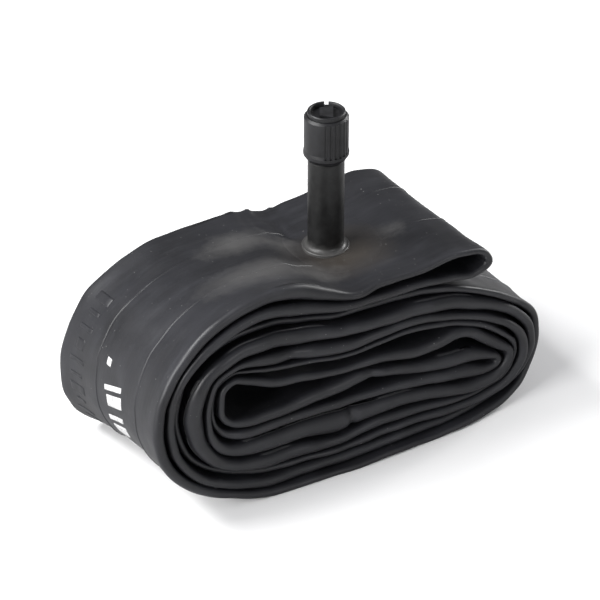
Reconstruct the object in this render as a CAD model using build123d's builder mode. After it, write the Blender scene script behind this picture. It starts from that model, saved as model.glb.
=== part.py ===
from build123d import *
from math import cos, hypot, radians, sin
import os

# Bicycle inner tube, pressed flat, doubled over and rolled up for storage, with a
# rubber covered Schrader valve standing in the dip on top.
# Millimetres, +Z up, +X along the roll, -Y towards the rolled ends that show the strands.
# The origin is under the middle of the roll, at the height of the face it rests on.

# ---------------------------------------------------------------- driving dimensions
FLAT_WIDTH = 46.0            # width of the tube when it is pressed flat
ROLL_MIDDLE_X = 2.08         # middle of the roll, in the roll's own drawing
ROLL_REST_Z = -22.2          # height of the rest face, in the roll's own drawing
VALVE_DRAWN_X = 9.0          # valve axis, in the roll's own drawing
VALVE_DRAWN_Z = 23.7         # tube surface under the valve, in the roll's own drawing

STEM_RADIUS = 4.15           # rubber cover, for an 8.5 mm rim hole
STEM_TOP = 22.9              # heights on the valve count from the tube surface
STEM_EDGE = 0.3              # bevel round the top of the rubber
STEM_FILLET = 1.0            # where the stem flows into its base
BASE_RADIUS = 5.45
BASE_EDGE = 0.15
BASE_RISE = 0.3
PATCH_LENGTH = 22.0
PATCH_WIDTH = 34.0
PATCH_RISE = 0.25
PATCH_BEVEL = 0.2
PATCH_DEPTH = 0.45           # how far the patch and the valve base sink into the tube
SEAT_CLEARING = 6.0          # height cleared above the seat, more than any fold there

CAP_PITCH = 0.794            # 8V1: 7.7 mm, 32 threads to the inch
CAP_THREAD_RADIUS = 3.85
CAP_THREAD_ROOT = 3.43
CAP_THREAD_START = 23.9
CAP_THREAD_HEIGHT = 7.7
CAP_THREAD_FOOT = 0.52       # width of a ridge at its root, and at its crest
CAP_THREAD_TIP = 0.16
INSERT_TOP = 32.4
INSERT_SHANK_RADIUS = 3.1

CORE_PITCH = 0.706           # 5V1: 5.2 mm, 36 threads to the inch
CORE_THREAD_RADIUS = 2.52
CORE_THREAD_ROOT = 2.2
CORE_THREAD_START = 28.6
CORE_THREAD_TURNS = 3.5      # turns in the insert
PLUG_THREAD_TURNS = 2.2      # turns on the core plug
CORE_BORE = 2.65             # the insert's bore, and how far its ridge comes in
CORE_BORE_CREST = 2.33
CORE_THREAD_FOOT = 0.42
CORE_THREAD_TIP = 0.12
PIN_RADIUS = 0.45

CAP_RADIUS = 5.0
CAP_BOTTOM = 23.1
CAP_TOP = 34.8
CAP_TURNS = 6                # turns of thread inside the cap
CAP_THREAD_LEAD = 2.5        # pitches from the stem's thread start to the cap's
CAP_RIDGE_FOOT = 0.5
CAP_RIDGE_TIP = 0.12
CAP_BORE = 3.98
CAP_THREAD_CREST = 3.58
FLUTE_GROUPS = (-83, 97)     # degrees, the middle of each fluted grip
FLUTES_PER_GROUP = 7
FLUTE_STEP = 13.0            # degrees from flute to flute
FLUTE_RADIUS = 0.32
GRIP_ANGLE = 59              # degrees, the way the grip block and the rim notch face
GRIP_LENGTH = 5.2
GRIP_WIDTH = 3.0
GRIP_SIDE_ANGLE = 75
GRIP_RISE = 0.85
NOTCH_RADIUS = 3.9
NOTCH_LENGTH = 1.6
NOTCH_WIDTH = 0.9

# ---------------------------------------------------------------- the rolled strand
# The tube is a closed band. These laps follow its middle line once round, as
# (x, z, thickness), from the outer fold, inwards to the inner fold, and out again.
OUTER_LAP_OUT = [
    (36.6, 22.7, 1.6), (35.4, 25.2, 1.5), (30, 26.0, 1.5), (22, 24.4, 1.5), (16, 23.1, 1.6),
    (9, 22.9, 1.6), (3, 23.1, 1.6), (-4, 25.3, 2.0), (-11, 29.2, 2.9), (-19, 31.0, 3.4),
    (-28, 29.1, 3.0), (-36.5, 24.5, 2.7), (-42.3, 18.3, 2.6), (-45.5, 11.3, 2.6), (-46.5, 4, 2.6),
    (-45.3, -3.2, 2.4), (-41.5, -9.5, 2.3), (-35.8, -14.9, 2.3), (-29, -18.6, 2.1), (-20, -21.1, 2.0),
    (-8, -21.5, 1.8), (10, -21.5, 1.7), (30, -21.1, 1.6), (40.1, -19.1, 1.7), (45.9, -15.9, 1.7),
    (49.6, -10.5, 1.7), (51.1, -4, 1.7),
]
SECOND_LAP_OUT = [
    (50.0, 2.4, 1.7), (46.0, 7.8, 1.7), (40.0, 12.3, 1.7), (30, 16.3, 1.7), (20, 17.7, 1.5),
    (10, 17.9, 1.4), (0, 18.5, 1.4), (-10, 21.5, 1.7), (-19, 23.0, 1.7), (-28, 22.1, 1.5),
    (-34.3, 19.2, 1.4), (-38.8, 14.8, 1.3), (-40.9, 9.4, 1.3), (-41.3, 4, 1.3), (-40.2, -1.0, 1.4),
    (-37.8, -5.9, 1.4), (-33.7, -10.2, 1.4), (-28, -13.4, 1.4), (-20, -15.7, 1.5), (-10, -16.5, 1.6),
    (0, -16.6, 1.6), (10, -16.0, 1.8), (20, -15.7, 1.9), (30, -16.4, 2.0), (38.9, -14.8, 2.0),
    (43.0, -12.3, 2.2), (45.7, -8.5, 2.4), (46.7, -4, 2.3),
]
THIRD_LAP_OUT = [
    (45.5, 0.5, 2.1), (42.5, 3.9, 1.9), (38.3, 6.5, 2.1), (30, 9.4, 1.9), (20, 11.5, 2.2),
    (10, 11.5, 2.4), (2, 11.3, 3.0), (-10, 13.5, 3.5), (-19, 14.9, 3.0), (-27.5, 15.3, 1.4),
    (-31.9, 13.3, 1.2), (-33.7, 9.8, 1.2), (-34.4, 6.4, 1.3), (-34.4, 3.2, 1.3), (-33.4, -1.0, 1.9),
    (-31.2, -4.4, 2.6), (-26, -6.8, 3.6), (-20, -7.7, 4.4), (-10, -7.8, 4.8), (0, -9.0, 5.6),
    (6, -8.8, 4.6), (12, -8.5, 3.9), (20, -9.3, 3.5), (28, -11.3, 3.1), (36, -11.4, 3.0),
    (40.4, -9.6, 2.5), (42.4, -7.0, 1.9),
]
INNER_LAP_OUT = [
    (42.8, -3.8, 1.9), (40.3, -1.5, 2.7), (36.2, 1.3, 2.8), (33, 3.7, 2.8), (29.5, 4.6, 2.8),
    (25, 3.6, 2.9), (20, 3.4, 2.9), (10, 4.9, 2.3), (0, 5.4, 1.8), (-10, 6.7, 2.3),
    (-18, 8.3, 2.4), (-24, 10.9, 2.0), (-27.6, 12.1, 1.6), (-30.2, 10.5, 1.5), (-31.0, 7.2, 1.5),
]
INNER_LAP_BACK = [
    (-30.8, 3.8, 1.5), (-28.8, 1.3, 1.8), (-24.6, 0.1, 2.4), (-18, 0.1, 2.8), (-8, 0.4, 3.3),
    (0, 0.7, 3.5), (5, 1.5, 3.2), (9.5, 1.2, 2.2), (14, 0.1, 2.6), (20, -1.5, 2.9),
    (28, -2.9, 3.8), (34, -3.1, 3.6), (38.4, -4.1, 2.1), (39.8, -4.7, 1.7), (40.4, -5.8, 1.7),
    (39.8, -6.9, 1.7), (38.4, -7.5, 2.1), (33.5, -7.6, 3.5), (28, -7.1, 3.0), (20, -5.3, 2.6),
    (10, -4.2, 2.0), (0, -3.8, 2.4), (-10, -3.4, 2.4), (-20, -3.1, 2.5), (-26, -2.7, 2.4),
]
THIRD_LAP_BACK = [
    (-30.2, -1.2, 1.8), (-32.2, 1.2, 1.1), (-32.85, 4, 1.0), (-32.7, 7.6, 1.0), (-31.2, 11.6, 0.9),
    (-27.6, 13.5, 0.9), (-23.5, 13.1, 0.9), (-19, 12.1, 1.1), (-10, 10.7, 1.1), (2, 8.9, 1.1), (10, 9.4, 1.2),
    (20, 9.5, 1.3), (30, 7.4, 1.4), (37.6, 4.1, 1.5), (41.2, 1.5, 1.3), (43.7, -1.0, 1.1),
    (44.6, -4, 0.9), (43.9, -7.6, 0.9), (41.8, -10.9, 0.9), (38.2, -13.1, 0.9),
]
SECOND_LAP_BACK = [
    (30, -14.2, 1.5), (20, -13.0, 2.2), (10, -12.7, 2.6), (0, -14.1, 2.3), (-10, -13.2, 3.4),
    (-20, -12.8, 3.6), (-27, -11.0, 3.2), (-32.5, -7.7, 3.2), (-35.7, -3.7, 3.7), (-37.3, 0.6, 4.2),
    (-37.8, 5.0, 4.6), (-37.0, 9.7, 4.4), (-34.4, 14.9, 3.5), (-28, 18.5, 3.6), (-19, 19.3, 4.0),
    (-10, 18.2, 4.0), (0, 15.7, 3.1), (10, 15.1, 3.2), (20, 14.8, 3.6), (30, 12.8, 3.7),
    (39.2, 9.3, 3.0), (44.2, 6.0, 2.4), (47.8, 1.6, 2.0), (49.1, -4, 1.8), (47.8, -9.6, 1.7),
    (44.5, -14.1, 1.8), (39.5, -17.0, 1.8),
]
OUTER_LAP_BACK = [
    (30, -18.9, 1.9), (20, -18.8, 2.3), (10, -19.1, 2.3), (0, -19.1, 2.5), (-10, -19.0, 2.5),
    (-20, -18.2, 2.6), (-28, -15.9, 2.5), (-34.8, -12.6, 2.2), (-39.6, -7.6, 2.1), (-42.6, -2.0, 2.1),
    (-43.6, 4, 2.0), (-42.9, 10.2, 2.0), (-40.2, 16.4, 2.1), (-35.3, 21.6, 2.6), (-28, 25.4, 2.8),
    (-19, 26.8, 2.8), (-11, 25.1, 3.2), (-3, 21.4, 2.2), (3, 20.0, 1.6), (10, 19.6, 1.7),
    (18, 19.9, 1.7), (26, 20.1, 1.7), (33.6, 20.1, 1.6),
]
STRAND = (
    OUTER_LAP_OUT + SECOND_LAP_OUT + THIRD_LAP_OUT + INNER_LAP_OUT
    + INNER_LAP_BACK + THIRD_LAP_BACK + SECOND_LAP_BACK + OUTER_LAP_BACK
)


OUTWARD = -1                 # the side of the band away from the space it encloses
INWARD = 1
POINTS_PER_CURVE = 8


def heading(before, here, after):
    """Direction of a smooth line at a point, from its neighbours; it fits points on an arc."""
    arriving = hypot(here[0] - before[0], here[1] - before[1])
    leaving = hypot(after[0] - here[0], after[1] - here[1])
    run = (here[0] - before[0]) * leaving / arriving + (after[0] - here[0]) * arriving / leaving
    rise = (here[1] - before[1]) * leaving / arriving + (after[1] - here[1]) * arriving / leaving
    return run / hypot(run, rise), rise / hypot(run, rise)


def headings(points):
    """The heading at every point of a closed line."""
    return [heading(points[i - 1], points[i], points[(i + 1) % len(points)]) for i in range(len(points))]


def wall(side):
    """Curves for one face of the flattened tube: the middle line moved half a thickness aside."""
    points = [
        (x - rise * side * thickness / 2 - ROLL_MIDDLE_X, z + run * side * thickness / 2 - ROLL_REST_Z)
        for (x, z, thickness), (run, rise) in zip(STRAND, headings(STRAND))
    ]
    closed = points + points[:1]
    starts = range(0, len(points), POINTS_PER_CURVE)
    return [Spline(*closed[first:first + POINTS_PER_CURVE + 1]) for first in starts]


# ---------------------------------------------------------------- planes and shared shapes
VALVE_X = VALVE_DRAWN_X - ROLL_MIDDLE_X
VALVE_Z = VALVE_DRAWN_Z - ROLL_REST_Z
VALVE_FOOT = (VALVE_X, 0, VALVE_Z)
VALVE_AXIS = Axis(VALVE_FOOT, (0, 0, 1))
VALVE_SECTION = Plane(origin=VALVE_FOOT, x_dir=(1, 0, 0), z_dir=(0, -1, 0))


def level(height):
    """A plane across the valve, at a height above the tube surface."""
    return Plane(origin=(VALVE_X, 0, VALVE_Z + height), z_dir=(0, 0, 1))


def turned(profile):
    """A turned piece on the valve axis from its half section, as (radius, height) points."""
    with BuildPart() as piece:
        with BuildSketch(VALVE_SECTION):
            with BuildLine():
                Polyline(*profile, close=True)
            make_face()
        revolve(axis=VALVE_AXIS)
    return piece


THREAD_BITE = 0.06           # how far a ridge sinks into the wall that carries it


def screw_ridge(root, crest, root_width, crest_width, pitch, start, height):
    """A right-hand thread ridge from a root radius out, or in, to a crest radius."""
    bite = THREAD_BITE if crest > root else -THREAD_BITE
    foot = (VALVE_X, 0, VALVE_Z + start)
    with BuildPart() as ridge:
        with BuildLine() as turns:
            Helix(pitch, height, root, center=foot)
        with BuildSketch(Plane(origin=turns.line @ 0, x_dir=(1, 0, 0), z_dir=turns.line % 0)):
            with BuildLine():
                Polyline(
                    (-bite, -root_width / 2),
                    (crest - root, -crest_width / 2),
                    (crest - root, crest_width / 2),
                    (-bite, root_width / 2),
                    close=True,
                )
            make_face()
        sweep(path=turns.line, is_frenet=True)
    return ridge


# ---------------------------------------------------------------- valve patch and rubber stem
with BuildPart() as valve_patch:
    with BuildSketch(level(-PATCH_DEPTH)):
        Ellipse(PATCH_LENGTH / 2, PATCH_WIDTH / 2)
        Circle(BASE_RADIUS, mode=Mode.SUBTRACT)
    extrude(amount=PATCH_DEPTH + PATCH_RISE)
    chamfer(valve_patch.faces().sort_by(Axis.Z)[-1].outer_wire().edges(), PATCH_BEVEL)
valve_patch.part.label = "valve_patch"

FOOT_BOTTOM = 0.35           # the insert's flange, moulded inside the base
FOOT_TOP = 1.1
FOOT_RADIUS = 3.9
AIR_PASSAGE = 1.6
with BuildPart() as stem_rubber:
    with BuildSketch(VALVE_SECTION):
        with BuildLine():
            Polyline(
                (AIR_PASSAGE, -PATCH_DEPTH), (BASE_RADIUS, -PATCH_DEPTH), (BASE_RADIUS, BASE_EDGE),
                (BASE_RADIUS - BASE_EDGE, BASE_RISE), (STEM_RADIUS + STEM_FILLET, BASE_RISE),
            )
            RadiusArc(
                (STEM_RADIUS + STEM_FILLET, BASE_RISE), (STEM_RADIUS, BASE_RISE + STEM_FILLET),
                STEM_FILLET,
            )
            Polyline(
                (STEM_RADIUS, BASE_RISE + STEM_FILLET), (STEM_RADIUS, STEM_TOP - STEM_EDGE),
                (STEM_RADIUS - STEM_EDGE, STEM_TOP), (INSERT_SHANK_RADIUS, STEM_TOP),
                (INSERT_SHANK_RADIUS, FOOT_TOP), (FOOT_RADIUS, FOOT_TOP), (FOOT_RADIUS, FOOT_BOTTOM),
                (AIR_PASSAGE, FOOT_BOTTOM), (AIR_PASSAGE, -PATCH_DEPTH),
            )
        make_face()
    revolve(axis=VALVE_AXIS)
stem_rubber.part.label = "stem_rubber"

# ---------------------------------------------------------------- rolled tube
outer_wall = wall(OUTWARD)
inner_wall = wall(INWARD)
with BuildPart() as rolled_tube:
    with BuildSketch(Plane.XZ.offset(-FLAT_WIDTH / 2)):
        make_face(outer_wall)
        make_face(inner_wall, mode=Mode.SUBTRACT)
    extrude(amount=FLAT_WIDTH)
    # The roll's own weight presses the lowest strand flat where it rests.
    split(bisect_by=Plane.XY, keep=Keep.TOP)
    # The patch and the valve base are bonded into a shallow seat.
    with BuildSketch(level(-PATCH_DEPTH)):
        Ellipse(PATCH_LENGTH / 2, PATCH_WIDTH / 2)
    extrude(amount=SEAT_CLEARING, mode=Mode.SUBTRACT)
rolled_tube.part.label = "rolled_tube"

# ---------------------------------------------------------------- brass insert in the stem
CHAMBER_RADIUS = 2.05
CHAMBER_FLOOR = 14.9
CHAMBER_TAPER = 0.5
SEAT_BOTTOM = 26.4           # conical seat that the core's gasket seals on
SEAT_TOP = 27.6
SEAT_RADIUS = 2.3
SEAT_LEAD = 0.3              # height of the cone from the seat out to the bore
INSERT_EDGE = 0.3
MOUTH_EDGE = 0.2
insert_body = turned([
    (AIR_PASSAGE, FOOT_BOTTOM), (FOOT_RADIUS, FOOT_BOTTOM), (FOOT_RADIUS, FOOT_TOP),
    (INSERT_SHANK_RADIUS, FOOT_TOP), (INSERT_SHANK_RADIUS, STEM_TOP),
    (CAP_THREAD_ROOT, STEM_TOP), (CAP_THREAD_ROOT, INSERT_TOP - INSERT_EDGE),
    (CAP_THREAD_ROOT - INSERT_EDGE, INSERT_TOP), (CORE_BORE + MOUTH_EDGE, INSERT_TOP),
    (CORE_BORE, INSERT_TOP - MOUTH_EDGE), (CORE_BORE, SEAT_TOP + SEAT_LEAD), (SEAT_RADIUS, SEAT_TOP),
    (CHAMBER_RADIUS, SEAT_BOTTOM), (CHAMBER_RADIUS, CHAMBER_FLOOR),
    (AIR_PASSAGE, CHAMBER_FLOOR - CHAMBER_TAPER),
])
cap_thread = screw_ridge(
    CAP_THREAD_ROOT, CAP_THREAD_RADIUS, CAP_THREAD_FOOT, CAP_THREAD_TIP, CAP_PITCH,
    CAP_THREAD_START, CAP_THREAD_HEIGHT
)
core_thread_inside = screw_ridge(
    CORE_BORE, CORE_BORE_CREST, CORE_THREAD_FOOT, CORE_THREAD_TIP, CORE_PITCH,
    CORE_THREAD_START + CORE_PITCH / 2, CORE_PITCH * CORE_THREAD_TURNS
)
with BuildPart() as stem_insert:
    add(insert_body.part)
    add(cap_thread.part)
    add(core_thread_inside.part)
stem_insert.part.label = "stem_insert"

# ---------------------------------------------------------------- valve core
BARREL_BOTTOM = 20.0
BARREL_TOP = 28.05
BARREL_RADIUS = 1.8
BARREL_BORE = 1.25           # round the spring
BARREL_MOUTH = 0.7           # round the pin
GROOVE_RADIUS = 1.55
GASKET_GAP = 0.03
SPRING_FLOOR = 20.8
SPRING_TOP = 26.2
PLUG_BOTTOM = 28.1
PLUG_TOP = 31.6
PLUG_BORE = 0.85
BRIDGE_WIDTH = 2.6
BRIDGE_DEPTH = 1.3

plug_body = turned([
    (PLUG_BORE, PLUG_BOTTOM), (CORE_THREAD_ROOT, PLUG_BOTTOM), (CORE_THREAD_ROOT, PLUG_TOP),
    (PLUG_BORE, PLUG_TOP),
])
core_thread = screw_ridge(
    CORE_THREAD_ROOT, CORE_THREAD_RADIUS, CORE_THREAD_FOOT, CORE_THREAD_TIP, CORE_PITCH,
    CORE_THREAD_START, CORE_PITCH * PLUG_THREAD_TURNS
)
with BuildPart() as core_plug:
    add(plug_body.part)
    add(core_thread.part)
    # Two sides of the head are cut away, which leaves the bridge that a core key grips.
    with BuildSketch(level(PLUG_TOP)):
        Circle(2 * CORE_THREAD_RADIUS)
        Rectangle(BRIDGE_WIDTH, 4 * CORE_THREAD_RADIUS, mode=Mode.SUBTRACT)
    extrude(amount=-BRIDGE_DEPTH, mode=Mode.SUBTRACT)
core_plug.part.label = "core_plug"

core_barrel = turned([
    (BARREL_MOUTH, BARREL_BOTTOM), (BARREL_RADIUS, BARREL_BOTTOM), (BARREL_RADIUS, SEAT_BOTTOM),
    (GROOVE_RADIUS, SEAT_BOTTOM), (GROOVE_RADIUS, SEAT_TOP), (BARREL_RADIUS, SEAT_TOP),
    (BARREL_RADIUS, BARREL_TOP), (BARREL_BORE, BARREL_TOP),
    (BARREL_BORE, SPRING_FLOOR), (BARREL_MOUTH, SPRING_FLOOR),
])
core_barrel.part.label = "core_barrel"

barrel_gasket = turned([
    (GROOVE_RADIUS, SEAT_BOTTOM), (CHAMBER_RADIUS - GASKET_GAP, SEAT_BOTTOM),
    (SEAT_RADIUS - GASKET_GAP, SEAT_TOP), (GROOVE_RADIUS, SEAT_TOP),
])
barrel_gasket.part.label = "barrel_gasket"

CUP_BOTTOM = 18.7
CUP_FLOOR = 19.2
CUP_TOP = 19.7
CUP_RADIUS = 1.75
CUP_BORE = 1.5
CUP_GASKET_TOP = 19.98
PIN_TOP = 32.1
PIN_BOTTOM = 18.3
PIN_HEAD_RADIUS = 0.7
PIN_HEAD_HEIGHT = 0.5
PIN_EDGE = 0.1
COLLAR_RADIUS = 1.0
COLLAR_EDGE = 0.35
core_pin = turned([
    (0, PIN_BOTTOM), (PIN_HEAD_RADIUS, PIN_BOTTOM), (PIN_HEAD_RADIUS, CUP_BOTTOM),
    (PIN_RADIUS, CUP_BOTTOM), (PIN_RADIUS, SPRING_TOP), (COLLAR_RADIUS, SPRING_TOP),
    (COLLAR_RADIUS, SPRING_TOP + COLLAR_EDGE), (PIN_RADIUS, SPRING_TOP + 2 * COLLAR_EDGE),
    (PIN_RADIUS, PIN_TOP - PIN_HEAD_HEIGHT - PIN_EDGE), (PIN_HEAD_RADIUS, PIN_TOP - PIN_HEAD_HEIGHT),
    (PIN_HEAD_RADIUS, PIN_TOP - PIN_EDGE), (PIN_HEAD_RADIUS - PIN_EDGE, PIN_TOP), (0, PIN_TOP),
])
core_pin.part.label = "core_pin"

core_cup = turned([
    (PIN_RADIUS, CUP_BOTTOM), (CUP_RADIUS, CUP_BOTTOM), (CUP_RADIUS, CUP_TOP),
    (CUP_BORE, CUP_TOP), (CUP_BORE, CUP_FLOOR), (PIN_RADIUS, CUP_FLOOR),
])
core_cup.part.label = "core_cup"

cup_gasket = turned([
    (PIN_RADIUS, CUP_FLOOR), (CUP_BORE, CUP_FLOOR), (CUP_BORE, CUP_GASKET_TOP),
    (PIN_RADIUS, CUP_GASKET_TOP),
])
cup_gasket.part.label = "cup_gasket"

SPRING_COIL_RADIUS = 0.85
SPRING_WIRE_RADIUS = 0.14
SPRING_COILS = 7
SPRING_END_GAP = 0.02
SPRING_FOOT = SPRING_FLOOR + SPRING_WIRE_RADIUS + SPRING_END_GAP
SPRING_HEIGHT = SPRING_TOP - SPRING_FLOOR - 2 * (SPRING_WIRE_RADIUS + SPRING_END_GAP)
with BuildPart() as core_spring:
    with BuildLine() as coil:
        Helix(
            SPRING_HEIGHT / SPRING_COILS,
            SPRING_HEIGHT,
            SPRING_COIL_RADIUS,
            center=(VALVE_X, 0, VALVE_Z + SPRING_FOOT),
        )
    with BuildSketch(Plane(origin=coil.line @ 0, z_dir=coil.line % 0)):
        Circle(SPRING_WIRE_RADIUS)
    sweep(path=coil.line, is_frenet=True)
core_spring.part.label = "core_spring"

# ---------------------------------------------------------------- dust cap and its seal
SHOULDER = 33.8
SHOULDER_EDGE = 0.5
FLARE_RADIUS = CAP_RADIUS + 0.15
FLARE_BOTTOM = CAP_BOTTOM + 1.0
FLARE_TOP = CAP_BOTTOM + 1.7
SKIRT_TOP = CAP_BOTTOM + 2.4
RIM_RADIUS = 4.25
RIM_INSIDE = 3.6
RIM_EDGE = 0.15
RECESS_FLOOR = 33.65
CEILING = 33.05
MOUTH_RADIUS = CAP_BORE + 0.3
MOUTH_HEIGHT = 1.2
cap_body = turned([
    (MOUTH_RADIUS, CAP_BOTTOM), (CAP_RADIUS - SHOULDER_EDGE, CAP_BOTTOM), (FLARE_RADIUS, FLARE_BOTTOM),
    (FLARE_RADIUS, FLARE_TOP), (CAP_RADIUS, SKIRT_TOP), (CAP_RADIUS, SHOULDER - SHOULDER_EDGE),
    (CAP_RADIUS - SHOULDER_EDGE, SHOULDER), (RIM_RADIUS, SHOULDER), (RIM_RADIUS, CAP_TOP - RIM_EDGE),
    (RIM_RADIUS - RIM_EDGE, CAP_TOP), (RIM_INSIDE + RIM_EDGE, CAP_TOP), (RIM_INSIDE, CAP_TOP - RIM_EDGE),
    (RIM_INSIDE - RIM_EDGE, RECESS_FLOOR), (0, RECESS_FLOOR), (0, CEILING), (CAP_BORE, CEILING),
    (CAP_BORE, CAP_BOTTOM + MOUTH_HEIGHT),
])
cap_thread_inside = screw_ridge(
    CAP_BORE, CAP_THREAD_CREST, CAP_RIDGE_FOOT, CAP_RIDGE_TIP, CAP_PITCH,
    CAP_THREAD_START + CAP_THREAD_LEAD * CAP_PITCH, CAP_PITCH * CAP_TURNS
)
with BuildPart() as cap_shell:
    add(cap_body.part)
    add(cap_thread_inside.part)
    # A raised grip block in the recess, and a moulding notch in the rim behind it.
    with BuildSketch(level(RECESS_FLOOR - RIM_EDGE)):
        with Locations(Location((0, 0), GRIP_ANGLE)):
            Trapezoid(GRIP_LENGTH, GRIP_WIDTH, GRIP_SIDE_ANGLE)
    extrude(amount=GRIP_RISE + RIM_EDGE)
    notch_x = NOTCH_RADIUS * cos(radians(GRIP_ANGLE))
    notch_y = NOTCH_RADIUS * sin(radians(GRIP_ANGLE))
    with BuildSketch(level(RECESS_FLOOR)):
        with Locations(Location((notch_x, notch_y), GRIP_ANGLE)):
            Rectangle(NOTCH_LENGTH, NOTCH_WIDTH)
    extrude(amount=CAP_TOP - CAP_BOTTOM, mode=Mode.SUBTRACT)
    # Two fluted grips, with a smooth panel between them on either side.
    with BuildSketch(level(FLARE_TOP)):
        for middle in FLUTE_GROUPS:
            first = middle - FLUTE_STEP * (FLUTES_PER_GROUP - 1) / 2
            with PolarLocations(FLARE_RADIUS, FLUTES_PER_GROUP, first, FLUTE_STEP * FLUTES_PER_GROUP):
                Circle(FLUTE_RADIUS)
    extrude(amount=CAP_TOP - CAP_BOTTOM, mode=Mode.SUBTRACT)
cap_shell.part.label = "cap_shell"

SEAL_RADIUS = 3.4
SEAL_BOTTOM = 32.5
SEAL_TOP = 33.0
cap_seal = turned([
    (0, SEAL_BOTTOM), (SEAL_RADIUS, SEAL_BOTTOM), (SEAL_RADIUS, SEAL_TOP), (0, SEAL_TOP),
])
cap_seal.part.label = "cap_seal"

# ---------------------------------------------------------------- one file for each piece
os.makedirs("parts", exist_ok=True)
for piece in (
    rolled_tube, valve_patch, stem_rubber, stem_insert, core_plug, core_barrel, barrel_gasket,
    core_pin, core_cup, cup_gasket, core_spring, cap_shell, cap_seal,
):
    export_step(piece.part, f"parts/{piece.part.label}.step")
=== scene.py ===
"""Looks of a rolled-up bicycle inner tube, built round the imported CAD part."""
import math

import bpy
import numpy as np
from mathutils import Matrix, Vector


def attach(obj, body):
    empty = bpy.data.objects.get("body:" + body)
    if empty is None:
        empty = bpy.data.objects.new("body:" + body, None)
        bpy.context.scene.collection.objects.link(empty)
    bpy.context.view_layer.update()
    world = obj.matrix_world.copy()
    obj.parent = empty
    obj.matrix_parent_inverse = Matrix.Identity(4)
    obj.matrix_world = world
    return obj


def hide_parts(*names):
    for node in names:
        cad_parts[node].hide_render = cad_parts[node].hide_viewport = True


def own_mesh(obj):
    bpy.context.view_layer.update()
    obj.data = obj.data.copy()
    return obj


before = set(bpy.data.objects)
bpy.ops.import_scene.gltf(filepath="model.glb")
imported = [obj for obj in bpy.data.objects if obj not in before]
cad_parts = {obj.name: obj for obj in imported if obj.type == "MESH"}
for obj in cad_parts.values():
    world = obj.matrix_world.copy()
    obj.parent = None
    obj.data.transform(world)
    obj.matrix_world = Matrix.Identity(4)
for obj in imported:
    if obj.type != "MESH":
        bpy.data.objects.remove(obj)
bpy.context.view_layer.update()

# ------------------------------------------------------------------ sizes, in millimetres
MM = 0.001
HALF_WIDTH = 23.0             # half the flattened tube's width, which is the roll's depth
ROLL_MIDDLE_X = 2.08          # the laps are drawn about another origin than the frame's: this x
REST_Z = -22.2                # and this height in the drawing lie at the frame's origin
VALVE_X = 6.92                # the valve's axis, in the frame
VALVE_Z = 45.9                # the tube's surface under the valve, in the frame
VALVE_LAP_Z = 24.7            # the strand's middle line under the valve, as drawn
STATION_STEP = 0.6            # distance between cross sections along the strand

# Middle line of the flattened tube at its front edge, once round the closed band, as
# (x, z, thickness). A fourth number is how far that edge stands back from the front.
OUTER_LAP_OUT = [
    (36.6, 22.7, 1.9, 0.0), (35.4, 25.2, 1.7), (30, 26.2, 1.6), (20, 25.1, 1.7), (10, 24.7, 1.9),
    (3, 24.3, 1.9), (-4, 26.9, 3.1), (-11, 29.8, 4.0), (-19, 31.0, 3.4), (-28, 29.1, 3.0, 0.2),
    (-36.5, 24.5, 2.7), (-42.3, 18.3, 2.6), (-45.5, 11.3, 2.6, 0.0), (-46.5, 4, 2.6), (-45.3, -3.2, 2.4),
    (-41.5, -9.5, 2.3), (-35.8, -14.9, 2.3), (-29, -18.6, 2.1, 0.2), (-20, -21.1, 2.0), (-8, -21.4, 1.7),
    (10, -21.4, 1.6, -1.6), (30, -21.1, 1.6, -1.0), (40.1, -19.1, 1.7, 0.6), (45.9, -15.9, 1.7, 1.9),
    (49.6, -10.5, 1.7, 2.8), (51.1, -4, 1.7, 2.8),
]
SECOND_LAP_OUT = [
    (50.0, 2.4, 1.7, 2.6), (46.0, 7.8, 1.7, 1.6), (40.0, 12.3, 1.7, 0.8), (30, 16.3, 1.7, 0.9),
    (20, 18.3, 1.7, 1.8), (10, 18.8, 1.6, 2.4), (0, 19.3, 1.5), (-10, 21.6, 1.7), (-19, 23.0, 1.7, 2.8),
    (-28, 22.1, 1.5), (-34.3, 19.2, 1.4), (-38.8, 14.8, 1.3), (-40.9, 9.4, 1.3, 2.6), (-41.3, 4, 1.3),
    (-40.2, -1.0, 1.4), (-37.8, -5.9, 1.4), (-33.7, -10.2, 1.4), (-28, -13.4, 1.4, 2.4),
    (-20, -15.7, 1.5), (-10, -16.5, 1.6, 1.4), (0, -16.6, 1.6, 0.6), (10, -16.0, 1.8, 0.3),
    (20, -15.7, 1.9), (30, -16.4, 2.0), (38.9, -14.8, 2.0, 0.2), (43.0, -12.3, 2.2), (45.7, -8.5, 2.4),
    (46.7, -4, 2.3, 0.2),
]
THIRD_LAP_OUT = [
    (45.5, 0.5, 2.1), (42.5, 3.9, 1.9), (38.3, 6.5, 2.1), (30, 9.4, 1.9), (20, 11.5, 2.2),
    (10, 11.5, 2.4, 0.0), (2, 11.3, 3.0), (-10, 13.5, 3.5), (-19, 14.9, 3.0), (-27.5, 15.3, 1.4),
    (-31.9, 13.3, 1.2, 0.3), (-33.7, 9.8, 1.2), (-34.4, 6.4, 1.3), (-34.4, 3.2, 1.3), (-33.4, -1.0, 1.9),
    (-31.2, -4.4, 2.6), (-26, -6.8, 3.6, 0.0), (-20, -7.7, 4.4), (-10, -7.8, 4.8), (0, -9.0, 5.6),
    (6, -8.8, 4.6), (12, -8.5, 3.9), (20, -9.3, 3.5), (28, -11.3, 3.1), (36, -11.4, 3.0),
    (40.4, -9.6, 2.5), (42.4, -7.0, 1.9, 0.2),
]
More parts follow.
